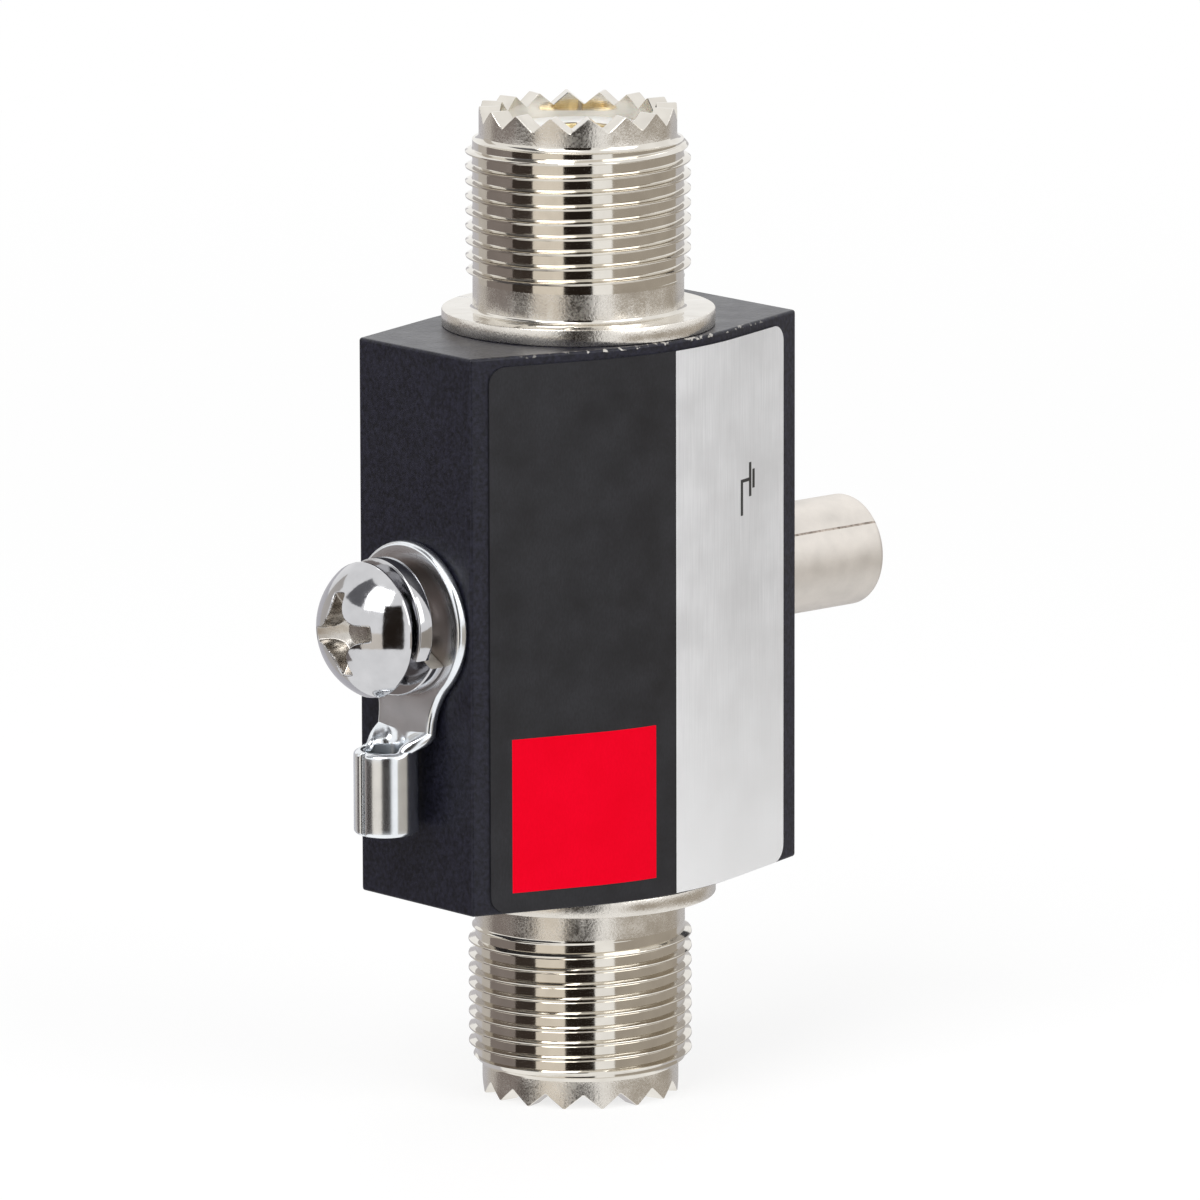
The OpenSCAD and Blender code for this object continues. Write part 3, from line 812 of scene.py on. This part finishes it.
def make_shell(name, turn, thread_turn, place, node):
    """A turned connector: spigot, flange, neck, coupling thread, toothed crown and bore, in that order."""
    thread_start = FLANGE_T + NECK_LEN
    run_out_start = thread_start - THREAD_RUN_OUT
    thread_end = thread_start + THREAD_LEN
    edge = TURNED_EDGE
    fillet = [
        (NECK_R + NECK_FILLET * (1 - math.sin(a)), FLANGE_T + NECK_FILLET * (1 - math.cos(a)))
        for a in (math.radians(d) for d in range(0, 91, 15))
    ]
    cove = [
        (CROWN_R + CROWN_COVE * (1 - math.sin(a)), thread_end + CROWN_COVE * (1 - math.cos(a)))
        for a in (math.radians(d) for d in range(0, 91, 15))
    ]
    foot = ring(*cove[-1])
    brim = crown_row(CROWN_R, turn, edge / 2)
    rim = [
        (FLANGE_R - edge, 0), (FLANGE_R - edge / 3, edge / 3), (FLANGE_R, edge),
        (FLANGE_R, FLANGE_T - edge), (FLANGE_R - edge / 3, FLANGE_T - edge / 3), (FLANGE_R - edge, FLANGE_T),
    ]
    wall = [foot] + [share_row(foot, brim, share) for share in (0.35, 0.7)] + [brim]

    rows = rings([(NOSE_BORE_R, -SPIGOT_LEN), (SPIGOT_D / 2, -SPIGOT_LEN), (SPIGOT_D / 2, 0)])
    rim_strips = range(len(rows), len(rows) + len(rim) - 1)
    rows += rings(rim + fillet)
    neck_strips = range(len(rows) - 1, len(rows) + 1)
    rows += rings([(NECK_R, run_out_start - NECK_END_GAP)])
    rows += thread_rows(run_out_start, thread_end, THREAD_PITCH, THREAD_DEPTH, THREAD_R, NECK_R,
                        run_out=THREAD_RUN_OUT, crest_at=THREAD_RUN_OUT / THREAD_PITCH + thread_turn)
    rows += rings([(THREAD_R - THREAD_DEPTH, thread_end)] + cove[:-1])
    wall_strips = range(len(rows), len(rows) + len(wall))
    rows += wall
    rows += [crown_row(r, turn) for r in even(CROWN_R - edge / 2, SHELL_BORE_R + edge / 2, 5)]
    rows += [crown_row(SHELL_BORE_R, turn, edge / 2)]
    rows += rings([(SHELL_BORE_R, SHELL_REACH - BELOW_TEETH), (SHELL_BORE_R, 0), (NOSE_BORE_R, 0)])
    pitted = {*rim_strips, *neck_strips, *wall_strips}

    def finish_of(strip, _):
        """Rim, neck and crown are pitted, and the rest is bright."""
        return 1 if strip in pitted else 0

    shell = turned(name, rows, crown_columns(turn), place, ["bright_nickel", "pitted_nickel"],
                   finish_of=finish_of)
    settle(shell, 28)
    weigh_normals(shell)
    hand_over(shell, "housing", "bright_nickel", node)


def dress(node, body, finish, edge, sharp=30):
    """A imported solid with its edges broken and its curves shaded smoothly."""
    mesh = bmesh.new()
    mesh.from_mesh(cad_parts[node].data)
    bmesh.ops.remove_doubles(mesh, verts=mesh.verts, dist=WELD)
    bmesh.ops.dissolve_limit(
        mesh, angle_limit=math.radians(FLAT_ANGLE), verts=mesh.verts, edges=mesh.edges)
    bmesh.ops.recalc_face_normals(mesh, faces=mesh.faces)
    piece = piece_from(mesh, node + "_piece", [finish])
    soften(piece, edge, segments=2, angle=sharp)
    settle(piece, sharp)
    hand_over(piece, body, finish, node)


make_shell("upper_shell", UPPER_CROWN_TURN, UPPER_THREAD_TURN, at_upper_end, "upper_connector_shell")
make_shell("lower_shell", -LOWER_CROWN_TURN, LOWER_THREAD_TURN, at_lower_end, "lower_connector_shell")
for end in ("upper", "lower"):
    dress(end + "_insulator", "housing", "white_insulator", INSULATOR_EDGE)
    dress(end + "_center_contact", "housing", "contact_metal", CONTACT_EDGE)


# Tube cap and what it holds

def make_cap():
    """The tube cap: threaded shank, smooth stub with a dirty seam, blind bore and key socket."""
    shoulder = SIDE_X + FACE_GAP
    root_r = CAP_SHANK_R - CAP_THREAD_DEPTH
    edge = [
        (CAP_R - CAP_EDGE * (1 - math.cos(a)), CAP_END - CAP_EDGE * (1 - math.sin(a)))
        for a in (math.radians(d) for d in range(0, 91, 10))
    ]
    first = rings([(CAP_BORE_R, CAP_START)])
    first += thread_rows(CAP_START, shoulder - CAP_RELIEF, CAP_SHANK_PITCH, CAP_THREAD_DEPTH,
                         CAP_SHANK_R, root_r, FINE_THREAD_ROWS, bevel=0.3, run_out=0.5)
    first += rings([
        (root_r, shoulder), (CAP_R - CAP_SHOULDER_EDGE, shoulder), (CAP_R, shoulder + CAP_SHOULDER_EDGE),
    ])
    rows = first + rings(edge + [(0, CAP_END), (0, CAP_FLOOR), (CAP_BORE_R, CAP_FLOOR)])
    outside = range(len(first) - 1, len(first) + len(edge) - 3)
    seam = [SEAM_PLACE + SEAM_WIDTH * share for share in (-0.5, -0.2, 0.2, 0.5)]
    columns = sorted(set(even(0, 360, 121) + seam))
    columns = [c for c in columns if c in seam or not seam[0] < c < seam[-1]]

    def finish_of(strip, column):
        """The seam is dirty along the stub."""
        return 1 if strip in outside and seam[0] <= columns[column] < seam[-1] else 0

    cap = turned("tube_cap_piece", rows, columns, at_cap_side, ["satin_nickel", "seam_dirt"],
                 finish_of=finish_of)
    key = bmesh.new()
    corner_r = KEY_AF / 2 / math.cos(math.radians(30))
    grid = [
        [key.verts.new(at_cap_side(polar(r, 60 * i, h))) for i in range(6)]
        for r, h in ((corner_r, CAP_END - KEY_DEPTH), (corner_r, CAP_END + CUT_PAST))
    ]
    fill_grid(key, grid, closed_columns=True)
    for face in grid:
        key.faces.new(face)
    finish_mesh(key)
    cut(cap, piece_from(key, "cutter", []))
    hand_over(cap, "cap", "satin_nickel", "tube_cap")


def finish_solid(node, finish):
    """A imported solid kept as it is, with a finish of its own."""
    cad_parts[node].data.materials.clear()
    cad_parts[node].data.materials.append(FINISHES[finish])


make_cap()
finish_solid("center_conductor", "contact_metal")
finish_solid("gas_tube_ceramic", "tube_ceramic")
finish_solid("gas_tube_inner_electrode", "electrode_metal")
finish_solid("gas_tube_outer_electrode", "electrode_metal")
finish_solid("contact_spring", "spring_steel")


# Grounding screw, spring washer and ring lug

def recess_side(x, y):
    """How far a place on the head is inside the cross of the recess: 1 inside, 0 outside."""
    along, across = max(abs(x), abs(y)), min(abs(x), abs(y))
    half = RECESS_WING / 2
    inner = min(max(half + RECESS_CORNER_R - along, 0), RECESS_CORNER_R)
    half += RECESS_CORNER_R - math.sqrt(RECESS_CORNER_R ** 2 - inner ** 2)
    return smooth_step((half + RECESS_WALL / 2 - across) / RECESS_WALL)


def dome_level(radius):
    """Height of the head's dome at a distance from the screw's axis."""
    dome_h = HEAD_H - HEAD_RIM_H
    dome_r = (HEAD_R ** 2 + dome_h ** 2) / (2 * dome_h)
    return HEAD_TOP - dome_r + math.sqrt(dome_r ** 2 - radius ** 2)


def recess_level(radius):
    """Height of the recess's conical floor at a distance from the screw's axis."""
    share = (radius - RECESS_FLOOR_R) / (RECESS_REACH - RECESS_FLOOR_R)
    floor = HEAD_TOP - RECESS_DEPTH
    return floor + (dome_level(RECESS_REACH) - floor) * min(max(share, 0), 1)


def dome_row(radius):
    """A row across the head's dome, pressed in where the recess is."""
    def at(angle):
        x, y, _ = polar(radius, angle - RECESS_TURN, 0)
        depth = dome_level(radius) - recess_level(radius) if radius < RECESS_REACH else 0.0
        return radius, dome_level(radius) - depth * recess_side(x, y)
    return at


def make_screw():
    """The grounding screw from its point to the dome of its head, with the cross recess pressed in."""
    edge = TURNED_EDGE
    root_r = SCREW_R - SCREW_THREAD_DEPTH
    rows = rings([(0, SCREW_TIP), (SCREW_R - SCREW_POINT, SCREW_TIP)])
    rows += thread_rows(SCREW_TIP + POINT_EDGE, HEAD_START - UNDERCUT_LOW, SCREW_PITCH, SCREW_THREAD_DEPTH,
                        SCREW_R, root_r, FINE_THREAD_ROWS, bevel=0.4, run_out=1.0)
    rows += rings([
        (root_r, HEAD_START - UNDERCUT_HIGH), (COLLAR_R, HEAD_START - COLLAR_H), (COLLAR_R, HEAD_START),
        (HEAD_R - edge, HEAD_START), (HEAD_R - edge / 3, HEAD_START + edge / 3), (HEAD_R, HEAD_START + edge),
    ])
    rows += [dome_row(r) for r in even(HEAD_R - DOME_EDGE, RECESS_REACH + 2 * RECESS_BLEND, 24)]
    rows += [dome_row(r) for r in even(RECESS_REACH + RECESS_BLEND, 0.0, 76)]
    screw = turned("ground_screw_piece", rows, even(0, 360, 289), at_screw_side,
                   ["plated_steel", "recess_steel"], closed=False)
    for face in screw.data.polygons:
        x, y, z = face.center / MM
        radius, level = math.hypot(y, z - PORT_Z), -SIDE_X - x
        if radius < RECESS_REACH and level > HEAD_START:
            face.material_index = 1 if dome_level(radius) - level > RECESS_LIP else 0
    settle(screw, 60)
    hand_over(screw, "screw", "plated_steel", "ground_screw")


def make_washer():
    """The split lock washer: a section with broken edges, swept up a little less than one turn."""
    corners = [  # radius, height, and the way from there into the section
        (WASHER_BORE_R, 0, 1, 1), (WASHER_R, 0, -1, 1),
        (WASHER_R, WASHER_T, -1, -1), (WASHER_BORE_R, WASHER_T, 1, -1),
    ]
    section = []
    for i, (r, h, inward, up) in enumerate(corners):
        first, last = (r + inward * WASHER_EDGE, h), (r, h + up * WASHER_EDGE)
        middle = (r + inward * WASHER_ROUND, h + up * WASHER_ROUND)
        section += [first, middle, last] if i % 2 else [last, middle, first]
    climb = WASHER_FREE_H - WASHER_T
    sweep = WASHER_SPLIT - 360
    mesh = bmesh.new()
    grid = []
    for share in even(0, 1, WASHER_STEPS):
        angle = -WASHER_END + sweep * share
        points = (polar(r, angle, WASHER_START + h + climb * share) for r, h in section)
        grid.append([mesh.verts.new(at_screw_side(point)) for point in points])
    fill_grid(mesh, grid, closed_columns=True)
    for end in (grid[0], grid[-1]):
        mesh.faces.new(end).material_index = 1
    finish_mesh(mesh)
    washer = piece_from(mesh, "spring_washer_piece", ["plated_steel", "sheared_steel"])
    settle(washer, 50)
    hand_over(washer, "washer_carrier", "plated_steel", "spring_washer")


def strip_half(down):
    """Half the tongue's width below the ring, between its hollow sides."""
    above = max(WAIST_DROP - down, 0)
    return WAIST_HALF + WAIST_R - math.sqrt(WAIST_R ** 2 - above ** 2)


def lug_reach(angle):
    """Distance from the screw's axis to the ring's outline, or to the line where the tongue joins."""
    drop = -math.cos(math.radians(angle))
    return min(RING_R, TONGUE_ROOT / max(drop, 1e-6))


def ear_level(beyond):
    """Where the barrel's upper edge runs in the flat sheet, by the distance beyond the neck's side."""
    inner = max(EAR_R - beyond, 0)
    return EAR_START + math.sqrt(EAR_R ** 2 - inner ** 2)


def sheet_margin(down, across):
    """Distance from a place in the flat sheet to the sheet's edge."""
    if down < TONGUE_ROOT:
        outer = RING_R - math.hypot(down, across)
    elif down < EAR_START:
        outer = math.hypot(max(WAIST_DROP - down, 0), WAIST_HALF + WAIST_R - abs(across)) - WAIST_R
    else:
        beyond = abs(across) - strip_half(EAR_START)
        ear = math.hypot(EAR_R - beyond, down - EAR_START) - EAR_R if beyond < EAR_R else down - EAR_RIM
        outer = min(ear, FOLD_HALF - abs(across), BARREL_END - down)
    return max(min(outer, math.hypot(down, across) - RING_BORE_R), 0)


def fold(down, across):
    """A place in the flat sheet after the tongue is bent out and the barrel is rolled."""
    rise = smooth_step((down - TONGUE_ROOT) / (LIFT_END - TONGUE_ROOT))
    out = FACE_GAP + LUG_T / 2 + LUG_LIFT * rise
    curl = smooth_step((down - FOLD_START) / (FOLD_END - FOLD_START))
    if curl < FLAT_CURL:
        return Vector((-down, across, out))
    bend = across * curl / FOLD_R
    radius = FOLD_R / curl
    return Vector((-down, radius * math.sin(bend), out + radius * (1 - math.cos(bend))))


def sheet_faces(down, across):
    """The two faces of the sheet at a place, which meet in a round at the sheet's edge."""
    along = fold(down + SLOPE_STEP, across) - fold(down - SLOPE_STEP, across)
    aside = fold(down, across + SLOPE_STEP) - fold(down, across - SLOPE_STEP)
    normal = aside.cross(along).normalized()
    short = max(1 - sheet_margin(down, across) / LUG_EDGE, 0)
    half = LUG_T / 2 * math.sqrt(1 - short ** 2)
    return fold(down, across) + normal * half, fold(down, across) - normal * half


def make_lug():
    """The crimp lug: ring, tongue and ears laid out in the flat sheet, then bent and rolled by fold()."""
    root_half = strip_half(TONGUE_ROOT)

    def columns(half):
        """Places across the strip, closer together near its sides."""
        inner = [half - e for e in EDGE_STEPS]
        return [-a for a in inner] + even(-inner[-1], inner[-1], 15)[1:-1] + inner[::-1]

    outline = [(TONGUE_ROOT, across) for across in columns(root_half)]
    open_angle = math.degrees(math.atan2(root_half, TONGUE_ROOT))
    for angle in even(180 - open_angle, open_angle - 180, 121)[1:-1]:
        up, side, _ = polar(lug_reach(angle), angle, 0)
        outline.append((-up, side))
    mesh = bmesh.new()

    def add_sheet(places, **closed):
        """Both faces of a field of the sheet, from rows of places in it."""
        for side in (0, 1):
            fill_grid(mesh, [
                [mesh.verts.new(at_screw_side(sheet_faces(*place)[side])) for place in row] for row in places
            ], **closed)

    def ring_row(from_bore, from_edge):
        """A row round the ring, at a distance from its bore or from its outline."""
        row = []
        for down, across in outline:
            reach = math.hypot(down, across)
            radius = RING_BORE_R + from_bore if from_edge is None else reach - from_edge
            row.append((down * radius / reach, across * radius / reach))
        return row

    ring_rows = [ring_row(e, None) for e in EDGE_STEPS]
    ring_rows += [ring_row(0, e) for e in [RING_INSET] + EDGE_STEPS[::-1]]
    add_sheet(ring_rows, closed_columns=True)

    levels = even(TONGUE_ROOT, FOLD_START, 10)[:-1] + even(FOLD_START, EAR_START, 10)[:-1]
    ear_levels = even(EAR_START, EAR_RIM, 27)[:-1] + [EAR_RIM + e for e in EDGE_STEPS]
    ear_levels += even(BARREL_START + BARREL_INSET, BARREL_END - BARREL_INSET, 6)
    ear_levels += [BARREL_END - e for e in EDGE_STEPS[::-1]]
    add_sheet([
        [(down, across) for across in columns(strip_half(min(down, EAR_START)))]
        for down in levels + ear_levels
    ])

    neck_half = strip_half(EAR_START)
    beyond = [EAR_R * (1 - math.cos(math.radians(a))) for a in range(0, 90, 6)]
    beyond += even(EAR_R, FOLD_HALF - neck_half - LUG_EDGE, 6)[:-1]
    beyond += [FOLD_HALF - neck_half - e for e in EDGE_STEPS[::-1]]
    for side in (-1, 1):
        add_sheet([
            [(max(down, ear_level(b)), side * (neck_half + b)) for b in beyond]
            for down in ear_levels
        ])
    finish_mesh(mesh)
    lug = piece_from(mesh, "ring_lug_piece", ["tinned_sheet"])
    settle(lug, 60)
    hand_over(lug, "lug", "tinned_sheet", "ring_lug")


make_screw()
make_washer()
make_lug()


# Floor, light and background, in metres

FLOOR_Z = cad_box[0].z
FLOOR_R = 4.0
SHADOW_SHARE = 0.28
SHADOW_REACH = (0.12, 0.45)
FLOOR_LEVEL = 1.03
FLOOR_TONE = 0.75
WORLD_LEVEL = 0.5
CARD_DISTANCE = 0.7
CARD_SPAN = (-24, -1)
CARDS = [  # name, span of azimuth from the camera's side, colour, span of elevation
    ("left_far_card", (-174, -139), (0.58, 0.57, 0.60), (-45, 8)),
    ("left_back_card", (-139, -118), (0.56, 0.53, 0.50), (-45, 30)),
    ("left_card", (-118, -76), (0.24, 0.21, 0.20), (-38, 2)),
    ("left_front_card", (-76, -50), (0.045, 0.035, 0.03), CARD_SPAN),
    ("front_left_card", (-50, -16), (0.80, 0.74, 0.66), CARD_SPAN),
    ("camera_card", (-16, 16), (0.02, 0.015, 0.012), (-24, 40)),
    ("upper_left_card", (-96, -56), (0.15, 0.15, 0.16), (30, 66)),
    ("right_card", (38, 134), (0.42, 0.38, 0.33), CARD_SPAN),
    ("right_far_card", (134, 174), (0.58, 0.57, 0.58), (-45, 8)),
]


def view_rays(tree):
    """1 for what the camera, a mirror or glass sees, and 0 for light that falls on the object."""
    path = tree.nodes.new("ShaderNodeLightPath")
    total = path.outputs["Is Camera Ray"]
    for name in ("Is Glossy Ray", "Is Transmission Ray"):
        add = tree.nodes.new("ShaderNodeMath")
        add.operation = "MAXIMUM"
        tree.links.new(total, add.inputs[0])
        tree.links.new(path.outputs[name], add.inputs[1])
        total = add.outputs["Value"]
    return total


def floor_material():
    """White where it is seen, darker where the object's shadow falls, and plain white far off."""
    finish = Finish("floor")
    tree = finish.tree
    out = tree.nodes["Material Output"]
    distance = finish.add("VectorMath", {0: finish.place()}, operation="LENGTH").outputs["Value"]
    near = finish.add("MapRange", {
        "Value": distance, "From Min": SHADOW_REACH[0], "From Max": SHADOW_REACH[1],
        "To Min": 1.0, "To Max": 0.0,
    }, interpolation_type="SMOOTHSTEP").outputs["Result"]
    glow_level = finish.span(near, 1.0, FLOOR_LEVEL - SHADOW_SHARE, 0, 1)
    tone = finish.mix(near, shade(0, 0, 0), shade(SHADOW_SHARE, SHADOW_SHARE, SHADOW_SHARE))
    lit = finish.add("BsdfDiffuse", {"Color": tone}).outputs["BSDF"]
    glow = finish.add("Emission", {"Color": shade(1, 1, 1), "Strength": glow_level}).outputs["Emission"]
    seen = finish.add("AddShader", {0: lit, 1: glow}).outputs["Shader"]
    plain = finish.add("BsdfDiffuse", {"Color": shade(FLOOR_TONE, FLOOR_TONE, FLOOR_TONE)}).outputs["BSDF"]
    mixed = finish.add("MixShader", {0: view_rays(tree), 1: plain, 2: seen}).outputs["Shader"]
    tree.nodes.remove(finish.shader)
    tree.links.new(mixed, out.inputs["Surface"])
    return finish.material


def make_floor():
    """A wide disc under the part that keeps its shadow."""
    mesh = bmesh.new()
    bmesh.ops.create_circle(mesh, cap_ends=True, segments=96, radius=FLOOR_R)
    data = bpy.data.meshes.new("floor")
    mesh.to_mesh(data)
    mesh.free()
    floor = bpy.data.objects.new("floor", data)
    floor.location.z = FLOOR_Z
    data.materials.append(floor_material())
    floor.visible_glossy = False
    bpy.context.scene.collection.objects.link(floor)


def make_world():
    """A white background whose light on the object is dimmer than what is seen."""
    world = bpy.data.worlds.new("studio")
    bpy.context.scene.world = world
    world.use_nodes = True
    tree = world.node_tree
    background = tree.nodes["Background"]
    background.inputs["Color"].default_value = shade(1, 1, 1)
    level = tree.nodes.new("ShaderNodeMapRange")
    level.inputs["To Min"].default_value = WORLD_LEVEL
    level.inputs["To Max"].default_value = 1.0
    tree.links.new(view_rays(tree), level.inputs["Value"])
    tree.links.new(level.outputs["Result"], background.inputs["Strength"])


def soft_box(name, azimuth, elevation, distance, size, level):
    """A square lamp that adds this level to a white surface facing it, its azimuth from the camera's side."""
    lamp = bpy.data.lights.new(name, "AREA")
    lamp.shape = "SQUARE"
    lamp.size = size
    lamp.energy = level * math.pi ** 2 * distance ** 2
    box = bpy.data.objects.new(name, lamp)
    out = away_from_centre(CAMERA_AZIMUTH + azimuth, elevation)
    box.location = Vector((0, 0, MIDDLE_Z * MM)) + out * distance
    box.rotation_euler = out.to_track_quat("Z", "Y").to_euler()
    bpy.context.scene.collection.objects.link(box)


def mirror_card(name, azimuths, tones, elevations):
    """A card that only polished metal sees."""
    mesh = bmesh.new()
    grid = []
    for elevation in elevations:
        turns = (CAMERA_AZIMUTH + a for a in even(*azimuths, 25))
        grid.append([mesh.verts.new(away_from_centre(turn, elevation) * CARD_DISTANCE) for turn in turns])
    fill_grid(mesh, grid)
    data = bpy.data.meshes.new(name)
    mesh.to_mesh(data)
    mesh.free()
    card = bpy.data.objects.new(name, data)
    card.location.z = MIDDLE_Z * MM
    finish = Finish(name)
    glow = finish.add("Emission", {"Color": shade(*tones)}).outputs["Emission"]
    finish.tree.links.new(glow, finish.tree.nodes["Material Output"].inputs["Surface"])
    finish.tree.nodes.remove(finish.shader)
    data.materials.append(finish.material)
    for ray in ("camera", "diffuse", "transmission", "shadow", "volume_scatter"):
        setattr(card, "visible_" + ray, False)
    bpy.context.scene.collection.objects.link(card)


make_floor()
make_world()
soft_box("key_light", -30, 48, 0.8, 0.5, 0.46)
soft_box("fill_light", 55, 30, 0.9, 0.6, 0.25)
soft_box("back_light", 170, 55, 0.9, 0.5, 0.1)
for card_values in CARDS:
    mirror_card(*card_values)
bpy.context.scene.view_settings.view_transform = "Standard"
